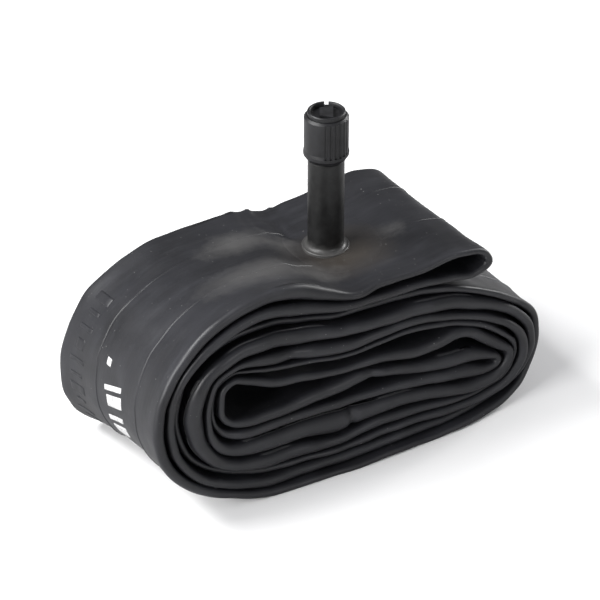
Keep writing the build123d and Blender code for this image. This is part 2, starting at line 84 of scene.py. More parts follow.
INNER_LAP_OUT = [
    (42.8, -3.8, 1.9), (40.3, -1.5, 2.7), (36.2, 1.3, 2.8), (33, 3.7, 2.8), (29.5, 4.6, 2.8),
    (25, 3.6, 2.9, 0.0), (20, 3.4, 2.9), (10, 4.9, 2.3), (0, 5.4, 1.8, 0.4), (-10, 6.7, 2.3),
    (-18, 8.3, 2.4), (-24, 10.9, 2.0), (-27.6, 12.1, 1.6), (-30.2, 10.5, 1.5), (-31.0, 7.2, 1.5, 0.3),
]
INNER_LAP_BACK = [
    (-30.8, 3.8, 1.5), (-28.8, 1.3, 1.8), (-24.6, 0.1, 2.4), (-18, 0.1, 2.8), (-8, 0.4, 3.3),
    (0, 0.7, 3.5, 0.0), (5, 1.5, 3.2), (9.5, 1.2, 2.2), (14, 0.1, 2.6), (20, -1.5, 2.9),
    (28, -2.9, 3.8), (34, -3.1, 3.6), (38.4, -4.1, 2.1), (39.8, -4.7, 1.7), (40.4, -5.8, 1.7, 0.6),
    (39.8, -6.9, 1.7), (38.4, -7.5, 2.1), (33.5, -7.6, 3.5), (28, -7.1, 3.0), (20, -5.3, 2.6),
    (10, -4.2, 2.0), (0, -3.8, 2.4), (-10, -3.4, 2.4), (-20, -3.1, 2.5), (-26, -2.7, 2.4, 0.3),
]
THIRD_LAP_BACK = [
    (-30.2, -1.2, 1.8, 1.0), (-32.2, 1.2, 1.1, 1.7), (-32.85, 4, 1.0), (-32.7, 7.6, 1.0),
    (-31.2, 11.6, 0.9, 1.7), (-27.6, 13.5, 0.9), (-23.5, 13.1, 0.9, 1.2), (-19, 12.1, 1.1),
    (-10, 10.7, 1.1, 0.6), (2, 8.9, 1.1), (10, 9.4, 1.2), (20, 9.5, 1.3, 0.3), (30, 7.4, 1.4),
    (37.6, 4.1, 1.5), (41.2, 1.5, 1.3), (43.7, -1.0, 1.1, 0.5), (44.6, -4, 0.9), (43.9, -7.6, 0.9),
    (41.8, -10.9, 0.9), (38.2, -13.1, 0.9, 1.5),
]
SECOND_LAP_BACK = [
    (30, -14.2, 1.5, 0.4), (20, -13.0, 2.2), (10, -12.7, 2.6), (0, -14.1, 2.3), (-10, -13.2, 3.4),
    (-20, -12.8, 3.6), (-27, -11.0, 3.2), (-32.5, -7.7, 3.2), (-35.7, -3.7, 3.7), (-37.3, 0.6, 4.2),
    (-37.8, 5.0, 4.6, 0.0), (-37.0, 9.7, 4.4), (-34.4, 14.9, 3.5), (-28, 18.5, 3.6), (-19, 19.3, 4.0),
    (-10, 18.2, 4.0), (0, 15.7, 3.1), (10, 15.1, 3.2), (20, 14.8, 3.6), (30, 12.8, 3.7, 0.0),
    (39.2, 9.3, 3.0), (44.2, 6.0, 2.4), (47.8, 1.6, 2.0, 0.6), (49.1, -4, 1.8, 1.0), (47.8, -9.6, 1.7),
    (44.5, -14.1, 1.8, 2.4), (39.5, -17.0, 1.8, 2.4),
]
OUTER_LAP_BACK = [
    (30, -18.9, 1.9, 0.8), (20, -18.8, 2.3, 0.2), (10, -19.1, 2.3), (0, -19.1, 2.5), (-10, -19.0, 2.5),
    (-20, -18.2, 2.6), (-28, -15.9, 2.5), (-34.8, -12.6, 2.2), (-39.6, -7.6, 2.1), (-42.6, -2.0, 2.1),
    (-43.6, 4, 2.0, 0.2), (-42.9, 10.2, 2.0), (-40.2, 16.4, 2.1), (-35.3, 21.6, 2.6),
    (-28, 25.4, 2.8, 0.0), (-19, 26.8, 2.8), (-11, 25.3, 3.2), (0, 22.3, 2.2), (10, 21.8, 2.0),
    (20, 21.1, 1.9), (28, 20.3, 1.8), (33.6, 20.1, 1.8, 0.3),
]
STRAND = (
    OUTER_LAP_OUT + SECOND_LAP_OUT + THIRD_LAP_OUT + INNER_LAP_OUT
    + INNER_LAP_BACK + THIRD_LAP_BACK + SECOND_LAP_BACK + OUTER_LAP_BACK
)

# How the roll departs from its drawn laps, mostly towards its back edge.
# The share of its height that a point loses at the back, by x.
SINK = [(-60, 0.10), (-43, 0.095), (-37, 0.127), (-28, 0.142), (-20, 0.153), (-11, 0.132), (-4, 0.090),
        (3, 0.062), (10, 0.061), (20, 0.04), (30, 0.030), (40, 0.06), (60, 0.10)]
# How far the left end spreads outwards at the back, by drawn height.
SLUMP = [(-24, 15.0), (-19.6, 14.2), (-16, 11.6), (-10, 8.0), (-3.6, 5.0), (4, 3.2), (11, 1.5),
         (19, 0.4), (30, 0.0)]
# How much further out the right end reaches all along its depth, by x.
REACH = [(12, 0.0), (30, 1.2), (45, 3.2), (54, 4.3)]
LEAN = 2.6                    # the whole roll leans this far to the right at the back
TUCK = 2.4                    # how far the outer fold's tip draws back to the left at the back
DROOP = 1.9                   # how far the loose right end hangs
SETTLE_POWER = 1.6            # above 1: the sinking comes on early behind the front edge
SLUMP_POWER = 1.8             # above 1: the slump comes on late, near the back edge
# Where each change begins, and the distance over which it comes in fully.
SLUMP_FROM, SLUMP_OVER = -6, 25      # leftwards
DROOP_FROM, DROOP_OVER = 26, 22      # rightwards
TUCK_FROM, TUCK_OVER = 16, 16        # rightwards
TUCK_ABOVE, TUCK_RISE = 12, 8        # upwards


# ------------------------------------------------------------------ curves and noise
RIPPLE_WAVES = 7


def smooth(values, knots):
    """A smooth line through (at, value) knots, level beyond both ends."""
    at = np.array([k[0] for k in knots], float)
    level = np.array([k[1] for k in knots], float)
    slope = np.gradient(level, at)
    slope[0] = slope[-1] = 0
    v = np.clip(values, at[0], at[-1])
    i = np.clip(np.searchsorted(at, v, side="right") - 1, 0, len(at) - 2)
    gap = at[i + 1] - at[i]
    t = (v - at[i]) / gap
    return (
        level[i] * (1 + 2 * t) * (1 - t) ** 2 + level[i + 1] * t * t * (3 - 2 * t)
        + gap * slope[i] * t * (1 - t) ** 2 - gap * slope[i + 1] * t * t * (1 - t)
    )


def ease(t):
    """0 to 1 with level ends."""
    t = np.clip(t, 0, 1)
    return t * t * (3 - 2 * t)


def ripple(along, across, scale, seed):
    """Soft, repeatable unevenness of about -1 to 1, with features of about this size."""
    random = np.random.default_rng(seed)
    total = np.zeros(np.broadcast(along, across).shape)
    for _ in range(RIPPLE_WAVES):
        angle = random.uniform(0, math.pi)
        wave = 2 * math.pi / (scale * random.uniform(0.7, 1.8))
        phase = random.uniform(0, 2 * math.pi)
        total = total + np.sin(wave * (along * math.cos(angle) + across * math.sin(angle)) + phase)
    return total / (RIPPLE_WAVES / 2)


def ripples(along, across, kinds):
    """Several ripples added up, each given as (size, seed, rise)."""
    return sum(ripple(along, across, size, seed) * rise for size, seed, rise in kinds)


def closed_line(points):
    """Fine middle line through the laps: arc length, x, z, thickness, edge recess."""
    p = np.array([q[:3] for q in points], float)
    after, before = np.roll(p, -1, 0), np.roll(p, 1, 0)
    leaving = np.hypot(*(after - p)[:, :2].T)
    arriving = np.hypot(*(p - before)[:, :2].T)
    slope = (
        (p - before) * (leaving / arriving)[:, None] + (after - p) * (arriving / leaving)[:, None]
    ) / (leaving + arriving)[:, None]
    given = [i for i, q in enumerate(points) if len(q) == 4]
    recess = np.interp(
        np.arange(len(points)), given, [points[i][3] for i in given], period=len(points)
    )
    rows = []
    for i in range(len(points)):
        j = (i + 1) % len(points)
        steps = max(2, math.ceil(leaving[i] / STATION_STEP))
        t = (np.arange(steps) / steps)[:, None]
        body = (
            p[i] * (1 + 2 * t) * (1 - t) ** 2 + p[j] * t * t * (3 - 2 * t)
            + leaving[i] * (slope[i] * t * (1 - t) ** 2 - slope[j] * t * t * (1 - t))
        )
        stand_back = recess[i] + (recess[j] - recess[i]) * ease(t)
        rows.append(np.hstack([body, stand_back]))
    line = np.vstack(rows)
    hop = np.hypot(*(np.roll(line, -1, 0) - line)[:, :2].T)
    arc = np.concatenate([[0], np.cumsum(hop)[:-1]])
    return np.column_stack([arc, line]), hop.sum()


LINE, LOOP_LENGTH = closed_line(STRAND)
ARC = LINE[:, 0]


def side_normals():
    """Unit normals of the middle line, towards the outside of the band."""
    step = np.roll(LINE[:, 1:3], -1, 0) - np.roll(LINE[:, 1:3], 1, 0)
    step /= np.hypot(*step.T)[:, None]
    return np.column_stack([step[:, 1], -step[:, 0]])


NORMAL = side_normals()


def arc_near(x, z):
    """The arc length at which the strand passes closest to a drawn point."""
    return ARC[np.argmin(np.hypot(LINE[:, 1] - x, LINE[:, 2] - z))]


def hump(at, half_length):
    """1 at an arc length, fading away along the strand on both sides."""
    return np.exp(-((ARC - at) / half_length) ** 2)


# Dents and swellings of the strand's face: (arc, across, half length, half width, turn, rise).
DENTS = [
    (29, 23, 8, 8, 0, -0.30), (39, 30, 8, 1.3, 40, 0.40), (36, 33, 6, 1.6, 70, -0.30),
    (19, 14, 9, 1.7, -25, -0.45), (15, 17, 8, 1.5, -25, 0.25), (47, 42, 3, 2.2, 0, 0.45),
    (44, 40, 2, 3, 0, -0.3), (28, 6, 7, 3.2, 0, 0.40), (41, 9, 5, 2.5, 55, -0.40),
    (47, 14, 9, 2.0, 65, 0.35), (60, 25, 10, 2.6, 15, -0.30), (66, 37, 12, 3.0, -8, 0.30),
    (78, 13, 11, 3.0, 6, -0.30), (95, 32, 9, 2.8, 80, 0.25), (118, 18, 8, 3.5, 40, -0.30),
    (140, 36, 9, 3.0, -30, 0.30), (152, 12, 8, 3.0, 70, -0.25), (8, 30, 5, 6, 0, -0.35),
    (10, 9, 4, 7, 20, 0.30), (34.6, 33, 0.7, 4.2, 10, 0.55), (36.2, 33.5, 0.9, 4.5, 10, -0.40),
    (38.7, 37, 1.6, 1.6, 0, 0.50), (41.6, 37.6, 1.1, 2.2, 0, -0.40), (34.3, 26.6, 0.7, 1.2, 20, 0.25),
    (32.9, 28.4, 0.6, 1.3, 30, -0.20), (36.2, 25.4, 0.7, 1.3, -30, 0.22), (21.5, 20, 1.0, 5.0, -20, 0.25),
    (24.0, 12, 1.2, 4.0, 35, -0.30), (50, 8, 9, 2.5, 10, -0.30), (86, 8, 12, 2.6, -5, 0.30),
    (41, 45, 0.9, 1.6, 0, 0.55), (46.2, 45.4, 1.4, 1.4, 0, 0.45), (34.0, 45, 0.8, 1.8, 0, 0.50),
    (43.4, 41.5, 0.7, 1.0, 0, 0.35), (35.2, 27.8, 0.5, 0.9, 0, 0.28), (33.4, 25.2, 0.6, 0.8, 0, 0.28),
    (37.2, 27.0, 0.6, 0.9, 0, -0.25), (70, 18, 14, 2.4, 4, -0.22), (108, 38, 12, 2.6, 8, -0.25),
    (5, 20, 1.6, 9.0, 10, -0.22),
]
# Fine flash lines that cross the strand, as the (x, z) of the strand they cross.
FLASH_LINES = [
    (-13.5, 25.6), (-32.5, -14.5), (26, 8.2), (25, -7.0), (33, -3.1), (10, -19.1), (-43, 10), (44, -1),
]
# Places where a fold pinches an edge: (x, z, half length, extra recess, share of thickness lost).
PUCKERS = [
    (3, -9.4, 1.0, 0.8, 0.08), (8, 1.4, 1.6, 0.6, 0.08), (-13, 12.6, 3.0, 0.7, 0.10),
    (5, 24.5, 2.5, -0.5, 0.0),
]
FLASH_RISE = 0.22             # at the edges
FLASH_ON_FACE = 0.5           # the share of it that is left on the strand's face
FLASH_HALF = 0.45
FACE_RIPPLES = [(26.0, 11, 0.20), (9.0, 12, 0.07)]
EDGE_RIPPLES = [(9.0, 3, 0.12), (31.0, 4, 0.18)]


def uneven(arc, across):
    """How far the strand stands out of its smooth course, in millimetres."""
    lift = ripples(arc, across, FACE_RIPPLES)
    for at, over, long, wide, turn, rise in DENTS:
        c, s = math.cos(math.radians(turn)), math.sin(math.radians(turn))
        u = ((arc - at) * c + (across - over) * s) / long
        v = ((across - over) * c - (arc - at) * s) / wide
        lift = lift + rise * np.exp(-u * u - v * v)
    return lift


def place(x, z, y):
    """From the front edge's drawing and a distance across to a point in the frame, in metres."""
    back = np.clip((y + HALF_WIDTH) / (2 * HALF_WIDTH), 0, 1)
    settle = 1 - (1 - back) ** SETTLE_POWER
    height = (z - REST_Z) * (1 - smooth(x, SINK) * settle) - DROOP * ease((x - DROOP_FROM) / DROOP_OVER)
    spread = ease((SLUMP_FROM - x) / SLUMP_OVER) * smooth(z, SLUMP) * back ** SLUMP_POWER
    tuck = TUCK * back * ease((x - TUCK_FROM) / TUCK_OVER) * ease((z - TUCK_ABOVE) / TUCK_RISE)
    moved = x + smooth(x, REACH) - spread - tuck + LEAN * back
    return np.stack([moved - ROLL_MIDDLE_X, y, np.maximum(height, 0)], -1) * MM


# ------------------------------------------------------------------ the rolled tube
EDGE_TURN = np.radians([0, 14, 28, 42, 56, 70, 84])
MIDDLE_THINNER = 0.16         # share of its thickness that the strand loses away from its edges
THINNER_FROM, THINNER_OVER = 1.5, 5   # where that begins, from the edge, and over what distance
BACK_RECESS = 0.5             # the back edge follows the front edge's recesses by this share
BACK_WOBBLE = 0.6             # and its unevenness by this one
MOULD_LINE_HALF = 0.22
MOULD_LINE_RISE = 0.16
# Each mould line's distance from the front edge at the outer fold, and how much nearer it runs
# at the left end.
MOULD_LINES = [(18.5, 7.5), (35.5, 6.0)]
FOLD_TO_LEFT = 100.0          # strand length from the outer fold to the left end
# Rows of points near the edges, as distances from the front edge, and round each mould line, as
# multiples of its half width.
FRONT_ROWS = [1.6, 2.6, 4.2]
BACK_ROWS = [42.4, 43.4, 44.4]
MOULD_LINE_ROWS = [-2.2, -1.0, -0.5, 0.0, 0.5, 1.0, 2.2]


def mould_lines(arc):
    """Distances from the front edge of the two lengthwise mould lines."""
    share = np.clip(arc / FOLD_TO_LEFT, 0, 1)
    return [start - nearer * share for start, nearer in MOULD_LINES]


def half_thickness(arc, thick, across):
    """Half the strand's thickness at a distance from the front edge, before the edge's own rounding."""
    from_edge = np.minimum(across, 2 * HALF_WIDTH - across)
    kept = 1 - MIDDLE_THINNER * ease((from_edge - THINNER_FROM) / THINNER_OVER)
    return thick / 2 * kept


def between(start, end, count):
    """Evenly spaced values between two others, without those two."""
    return list(np.linspace(start, end, count + 2)[1:-1])


def rows_across(arc):
    """Distances from the front edge where the skin has a row of points, for one station."""
    near, far = mould_lines(arc)
    rows = list(FRONT_ROWS)
    rows += between(FRONT_ROWS[-1], near, 5)
    rows += [near + MOULD_LINE_HALF * k for k in MOULD_LINE_ROWS]
    rows += between(near, far, 10)
    rows += [far + MOULD_LINE_HALF * k for k in MOULD_LINE_ROWS]
    rows += between(far, BACK_ROWS[0], 3)
    rows += BACK_ROWS
    return np.array(rows)


def skin():
    """Points of the whole tube: one closed section at every station of the strand."""
    sections = []
    wobble = ripples(ARC, 0 * ARC, EDGE_RIPPLES)
    flash = np.zeros(len(ARC))
    for x, z in FLASH_LINES:
        flash += FLASH_RISE * hump(arc_near(x, z), FLASH_HALF)
    fold_in, slim = np.zeros(len(ARC)), np.ones(len(ARC))
    for x, z, half_length, extra, lost in PUCKERS:
        here = hump(arc_near(x, z), half_length)
        fold_in += extra * here
        slim -= lost * here
    for k, (arc, x, z, thick, recess) in enumerate(LINE):
        normal = NORMAL[k]
        thick, recess = thick * slim[k], recess + fold_in[k]
        front = -HALF_WIDTH + recess + wobble[k]
        back = HALF_WIDTH + recess * BACK_RECESS + wobble[k] * BACK_WOBBLE
        across = rows_across(arc)
        near, far = mould_lines(arc)
        offset = half_thickness(arc, thick, across)
        ridge = np.zeros(len(across))
        for middle in (near, far):
            ridge += MOULD_LINE_RISE * np.clip(1 - abs(across - middle) / MOULD_LINE_HALF, 0, 1)
        radius = thick / 2 + flash[k]
        edge_y = radius * (1 - np.cos(EDGE_TURN))
        edge_n = radius * np.sin(EDGE_TURN)
        y_mid = front + across / (2 * HALF_WIDTH) * (back - front)
        top_y = np.concatenate([front + edge_y, y_mid, (back - edge_y)[::-1]])
        top_n = np.concatenate([edge_n, offset + ridge + flash[k] * FLASH_ON_FACE, edge_n[::-1]])
        low_y = top_y[-2:0:-1]
        low_n = -np.concatenate([edge_n, offset, edge_n[::-1]])[-2:0:-1]
        y, n = np.concatenate([top_y, low_y]), np.concatenate([top_n, low_n])
        sections.append(np.column_stack([x + normal[0] * n, z + normal[1] * n, y]))
    return np.array(sections)


def skin_point(arc, across, lift):
    """Points on the outward side of the strand at an arc length and distance from the front edge."""
    arc = np.asarray(arc, float) % LOOP_LENGTH
    ends = np.append(ARC, LOOP_LENGTH)
    value = [np.interp(arc, ends, np.append(c, c[0])) for c in (*LINE[:, 1:4].T, *NORMAL.T)]
    x, z, thick, nx, nz = value
    n = half_thickness(arc, thick, across) + lift
    return place(x + nx * n, z + nz * n, across - HALF_WIDTH)


def mesh_object(name, points, faces, material):
    """A smooth-shaded mesh object from points in metres."""
    mesh = bpy.data.meshes.new(name)
    mesh.from_pydata([tuple(p) for p in points], [], faces)
    mesh.update()
    mesh.polygons.foreach_set("use_smooth", [True] * len(mesh.polygons))
    made = bpy.data.objects.new(name, mesh)
    bpy.context.scene.collection.objects.link(made)
    mesh.materials.append(material)
    return made


def ring_faces(rings, per_ring, closed=True):
    """Quads between neighbouring rings of points."""
    last = rings if closed else rings - 1
    return [
        (i * per_ring + j, i * per_ring + (j + 1) % per_ring,
         ((i + 1) % rings) * per_ring + (j + 1) % per_ring, ((i + 1) % rings) * per_ring + j)
        for i in range(last) for j in range(per_ring)
    ]


def strand_uv(made, coords):
    """A map of arc length and distance across, in metres, so that grain can follow the strand."""
    uv = made.data.uv_layers.new(name="strand")
    vertex = np.empty(len(made.data.loops), int)
    made.data.loops.foreach_get("vertex_index", vertex)
    uv.data.foreach_set("uv", coords[vertex].astype(np.float32).ravel())


# ------------------------------------------------------------------ materials
RUBBER_DARK = (0.0072, 0.0074, 0.0094)
RUBBER_LIGHT = (0.0175, 0.0180, 0.0222)
STREAK = (0.026, 0.026, 0.029, 1)
RUBBED = (0.033, 0.034, 0.040, 1)
BROWN = (0.040, 0.034, 0.028, 1)
# pale grey for the paler spots, which are partly talc and partly painted highlight, and for the paler band
# at the valve stem's foot
PALE_TONE = (0.095, 0.093, 0.091, 1)
TALC = (0.30, 0.30, 0.29, 1)
INK_FRESH = (0.62, 0.62, 0.62, 1)
INK_WORN = (0.30, 0.30, 0.305, 1)
WEAR_PALER = 2.4              # how much paler worn edges are than the light shade
# Paler spots on the outer face, partly rubbed talc and partly painted highlight standing in for light on
# its curves: (x, y, radius) in millimetres and a factor of stretch along x.
TALC_AND_HIGHLIGHT_SPOTS = [
    (VALVE_X - 8.3, 2.5, 9.0, 1.0), (VALVE_X - 18.0, 8.0, 9.5, 1.8), (VALVE_X - 21.0, -9.0, 11.0, 2.4),
    (VALVE_X - 9.0, -12.0, 8.0, 1.6), (VALVE_X + 15.0, -4.0, 6.5, 1.2),
]


class Nodes:
    """Short names for building one node material."""

    def __init__(self, name):
        self.material = bpy.data.materials.new(name)
        self.material.use_nodes = True
        self.tree = self.material.node_tree
        self.surface = self.tree.nodes["Principled BSDF"]

    def add(self, kind, inputs=None, **settings):
        """A new node with its settings, and its inputs given by name."""
        node = self.tree.nodes.new(kind)
        for key, value in settings.items():
            setattr(node, key, value)
        for key, value in (inputs or {}).items():
            self.give(node.inputs[key], value)
        return node

    def give(self, socket, value):
        """Links a socket to another one, or sets its value."""
        if hasattr(value, "is_output"):
            self.tree.links.new(value, socket)
        else:
            socket.default_value = value

    def math(self, operation, a, b=0.0):
        """The result of one sum on two values."""
        node = self.add("ShaderNodeMath", operation=operation)
        self.give(node.inputs[0], a)
        self.give(node.inputs[1], b)
        return node.outputs[0]

    def noise(self, vector, scale, detail=4.0, rough=0.55):
        """Cloudy noise from 0 to 1."""
        inputs = {"Vector": vector, "Scale": scale, "Detail": detail, "Roughness": rough}
        return self.add("ShaderNodeTexNoise", inputs).outputs[0]

    def ramp(self, value, *stops):
        """Shades between (position, grey or colour) stops."""
        node = self.add("ShaderNodeValToRGB", {"Fac": value})
        while len(node.color_ramp.elements) < len(stops):
            node.color_ramp.elements.new(0.5)
        for element, (position, shade) in zip(node.color_ramp.elements, stops):
            element.position = position
            element.color = (*shade, 1) if isinstance(shade, tuple) else (shade, shade, shade, 1)
        return node.outputs[0]

    def mix(self, share, a, b):
        """From colour a at share 0 to colour b at share 1."""
        node = self.add("ShaderNodeMix", data_type="RGBA")
        self.give(node.inputs[0], share)
        self.give(node.inputs[6], a)
        self.give(node.inputs[7], b)
        return node.outputs[2]

    def finish(self, colour, roughness, height=None, bump=0.1, distance=0.0002, **extra):
        """Connects the surface, with fine relief from height if there is one, and returns the material."""
        self.give(self.surface.inputs["Base Color"], colour)
        self.give(self.surface.inputs["Roughness"], roughness)
        for key, value in extra.items():
            self.give(self.surface.inputs[key.replace("_", " ")], value)
        if height is not None:
            node = self.add("ShaderNodeBump", {"Height": height, "Strength": bump, "Distance": distance})
            self.give(self.surface.inputs["Normal"], node.outputs[0])
        return self.material


def butyl(name):
    """Satin black butyl: lengthwise grain, mottled sheen, a little talc, browner round the valve, and paler
    spots that are partly talc and partly painted highlight.
    """
    n = Nodes(name)
    position = n.add("ShaderNodeTexCoord").outputs["Object"]
    strand = n.add("ShaderNodeUVMap", uv_map="strand").outputs[0]
    smeared = n.add("ShaderNodeMapping", {"Vector": strand, "Scale": (45.0, 170.0, 1.0)}).outputs[0]
    rubbed = n.ramp(n.noise(smeared, 1.0, 5.0, 0.65), (0.50, 0.0), (0.72, 0.55))
    streaked = n.add("ShaderNodeMapping", {"Vector": strand, "Scale": (60.0, 900.0, 1.0)}).outputs[0]
    cloud = n.noise(position, 55.0, 5.0, 0.6)
    fine = n.noise(position, 900.0, 4.0, 0.6)
    grain = n.noise(streaked, 1.0, 3.0, 0.5)
    speck = n.add("ShaderNodeTexVoronoi", {"Vector": position, "Scale": 560.0, "Randomness": 1.0})
    dust_here = n.ramp(n.noise(position, 160.0, 3.0), (0.46, 0.0), (0.58, 1.0))
    dust = n.math("MULTIPLY", n.ramp(speck.outputs["Distance"], (0.04, 1.0), (0.10, 0.0)), dust_here)
    base = n.ramp(cloud, (0.32, RUBBER_DARK), (0.68, RUBBER_LIGHT))
    base = n.mix(n.ramp(grain, (0.35, 0.0), (0.8, 0.35)), base, STREAK)
    base = n.mix(rubbed, base, RUBBED)
    where = n.add("ShaderNodeSeparateXYZ", {"Vector": position})
    ragged_edge = n.noise(position, 300.0, 6.0, 0.72)

    def spot(x, y, radius, stretch, edge, strength):
        """The given strength inside a ragged oval seen from above, fading to 0 outside it."""
        off_x = n.math("MULTIPLY", n.math("SUBTRACT", where.outputs[0], x * MM), 1 / stretch)
        off_y = n.math("SUBTRACT", where.outputs[1], y * MM)
        square = n.math("ADD", n.math("MULTIPLY", off_x, off_x), n.math("MULTIPLY", off_y, off_y))
        ragged = n.math("ADD", n.math("SQRT", square), n.math("MULTIPLY", ragged_edge, edge * MM))
        share = n.math("DIVIDE", ragged, radius * MM)
        return n.ramp(share, (0.45, strength), (1.0, 0.0))

    outside = n.ramp(where.outputs[2], (0.036, 0.0), (0.040, 1.0))
    bloom = n.math("MULTIPLY", spot(VALVE_X + 0.5, -5.0, 15.0, 1.15, 4.0, 0.85), outside)
    base = n.mix(bloom, base, BROWN)
    # painted highlight: paler spots on the upper face, partly rubbed talc and partly standing in for light
    # where the face curves
    for x, y, radius, stretch in TALC_AND_HIGHLIGHT_SPOTS:
        pale = n.math("MULTIPLY", spot(x, y, radius, stretch, 6.0, 0.6), outside)
        base = n.mix(pale, base, PALE_TONE)
    base = n.mix(n.math("MULTIPLY", dust, 0.5), base, TALC)
    sheen = n.ramp(n.noise(position, 34.0, 4.0, 0.65), (0.3, 0.35), (0.72, 0.54))
    rough = n.math("ADD", sheen, n.math("MULTIPLY", fine, 0.06))
    relief = n.math("ADD", n.math("MULTIPLY", fine, 0.35), n.math("MULTIPLY", grain, 0.65))
    return n.finish(base, rough, relief, 0.32, 0.00014, IOR=1.5)


def moulded(name, dark, light, rough_low, rough_high, scale=300.0, bump=0.12, foot=None):
    """Moulded rubber or plastic: faint mottling, fine grain, wear that lightens raised edges.

    Where foot is given, a height in metres, the colour turns paler near it, fading out a few millimetres
    above it.
    """
    n = Nodes(name)
    position = n.add("ShaderNodeTexCoord").outputs["Object"]
    cloud = n.noise(position, scale, 4.0)
    fine = n.noise(position, scale * 9, 3.0)
    pointed = n.ramp(n.add("ShaderNodeNewGeometry").outputs["Pointiness"], (0.50, 0.0), (0.56, 1.0))
    worn = n.math("MULTIPLY", pointed, n.ramp(n.noise(position, scale * 2, 4.0), (0.45, 0.1), (0.6, 0.7)))
    base = n.ramp(cloud, (0.3, dark), (0.7, light))
    base = n.mix(n.math("MULTIPLY", worn, 0.5), base, tuple(c * WEAR_PALER for c in light) + (1,))
    if foot:
        # paler near the foot, fading out a few millimetres above it
        high = n.add("ShaderNodeSeparateXYZ", {"Vector": position}).outputs[2]
        high = n.math("ADD", high, n.math("MULTIPLY", cloud, 0.003))
        paler_above_foot = n.ramp(n.math("DIVIDE", n.math("SUBTRACT", high, foot), 0.004), (0.25, 0.75), (0.9, 0.0))
        base = n.mix(paler_above_foot, base, PALE_TONE)
    rough = n.ramp(n.noise(position, scale * 0.6, 3.0), (0.3, rough_low), (0.7, rough_high))
    relief = n.math("ADD", n.math("MULTIPLY", fine, 0.6), n.math("MULTIPLY", cloud, 0.4))
    return n.finish(base, rough, relief, bump, 0.00008, IOR=1.48)


def metal(name, dark, light, rough_low, rough_high):
    """Turned metal: fine rings round the axis, dull spots."""
    n = Nodes(name)
    position = n.add("ShaderNodeTexCoord").outputs["Object"]
    rings = n.add("ShaderNodeMapping", {"Vector": position, "Scale": (20.0, 20.0, 6000.0)}).outputs[0]
    turned = n.noise(rings, 1.0, 2.0)
    dull = n.noise(position, 500.0, 4.0)
    base = n.mix(n.ramp(dull, (0.35, 0.0), (0.7, 1.0)), (*light, 1), (*dark, 1))
    dull_rough = n.ramp(dull, (0.3, rough_low), (0.7, rough_high))
    rough = n.math("ADD", dull_rough, n.math("MULTIPLY", turned, 0.08))
    return n.finish(base, rough, turned, 0.15, 0.00005, Metallic=1.0)


def print_ink(name):
    """Thin pad-printed ink, worn through in places."""
    n = Nodes(name)
    position = n.add("ShaderNodeTexCoord").outputs["Object"]
    worn = n.ramp(n.noise(position, 1300.0, 4.0, 0.7), (0.52, 0.0), (0.64, 1.0))
    base = n.mix(worn, INK_FRESH, INK_WORN)
    return n.finish(base, n.ramp(worn, (0.0, 0.45), (1.0, 0.6)), worn, 0.2, 0.00005)


BUTYL = butyl("butyl_rubber")
PATCH_RUBBER = butyl("patch_rubber")
STEM_RUBBER = moulded(
    "stem_rubber", (0.003, 0.003, 0.003), (0.008, 0.008, 0.008), 0.34, 0.50, foot=VALVE_Z * MM
)
SEAL_RUBBER = moulded("seal_rubber", (0.012, 0.012, 0.012), (0.02, 0.02, 0.02), 0.55, 0.7)
GASKET = moulded("gasket_red", (0.20, 0.02, 0.012), (0.34, 0.04, 0.025), 0.4, 0.55)
CAP_PLASTIC = moulded("cap_plastic", (0.005, 0.005, 0.0055), (0.011, 0.011, 0.0125), 0.36, 0.52, 260.0, 0.1)
BRASS = metal("brass", (0.42, 0.29, 0.13), (0.76, 0.58, 0.30), 0.26, 0.42)
STEEL = metal("spring_steel", (0.36, 0.36, 0.38), (0.60, 0.60, 0.62), 0.22, 0.35)
INK = print_ink("print_ink")


# ------------------------------------------------------------------ build the tube
sections = skin()
stations, per_ring = sections.shape[:2]
flat = sections.reshape(-1, 3)
arc_of = np.repeat(ARC, per_ring)
swell = uneven(arc_of, flat[:, 2] + HALF_WIDTH)
normal_of = np.repeat(NORMAL, per_ring, 0)
swollen = flat[:, :2] + normal_of * swell[:, None]
tube_points = place(swollen[:, 0], swollen[:, 1], flat[:, 2])
tube = mesh_object("tube_skin", tube_points, ring_faces(stations, per_ring), BUTYL)
strand_uv(tube, np.column_stack([arc_of, flat[:, 2]]) * MM)
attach(tube, "tube")
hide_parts("rolled_tube")

# ------------------------------------------------------------------ valve patch
VALVE_ARC = arc_near(VALVE_X + ROLL_MIDDLE_X, VALVE_LAP_Z)
PATCH_HALF_LENGTH = 11.5      # along the strand
PATCH_HALF_WIDTH = 13.5
# From the rim inwards: each ring's size as a share of the patch, and its lift off the tube's skin.
PATCH_RINGS = [1.0, 0.975, 0.94, 0.88, 0.80, 0.68, 0.54, 0.42, 0.31]
PATCH_LIFTS = [-0.06, 0.03, 0.11, 0.19, 0.22, 0.16, 0.10, 0.08, 0.06]
PATCH_UNDERSIDE = -0.12       # sunk into the tube's skin, where it is bonded
PATCH_SIDES = 72


def patch_points(lifts):
    """Rings of an oval on the tube's skin round the valve."""
    turn = np.linspace(0, 2 * math.pi, PATCH_SIDES, endpoint=False)
    rows = []
    for size, lift in zip(PATCH_RINGS, lifts):
        arc = VALVE_ARC + PATCH_HALF_LENGTH * size * np.cos(turn)
        across = HALF_WIDTH + PATCH_HALF_WIDTH * size * np.sin(turn)
        rows.append(skin_point(arc, across, lift + uneven(arc, across)))
    return np.vstack(rows)


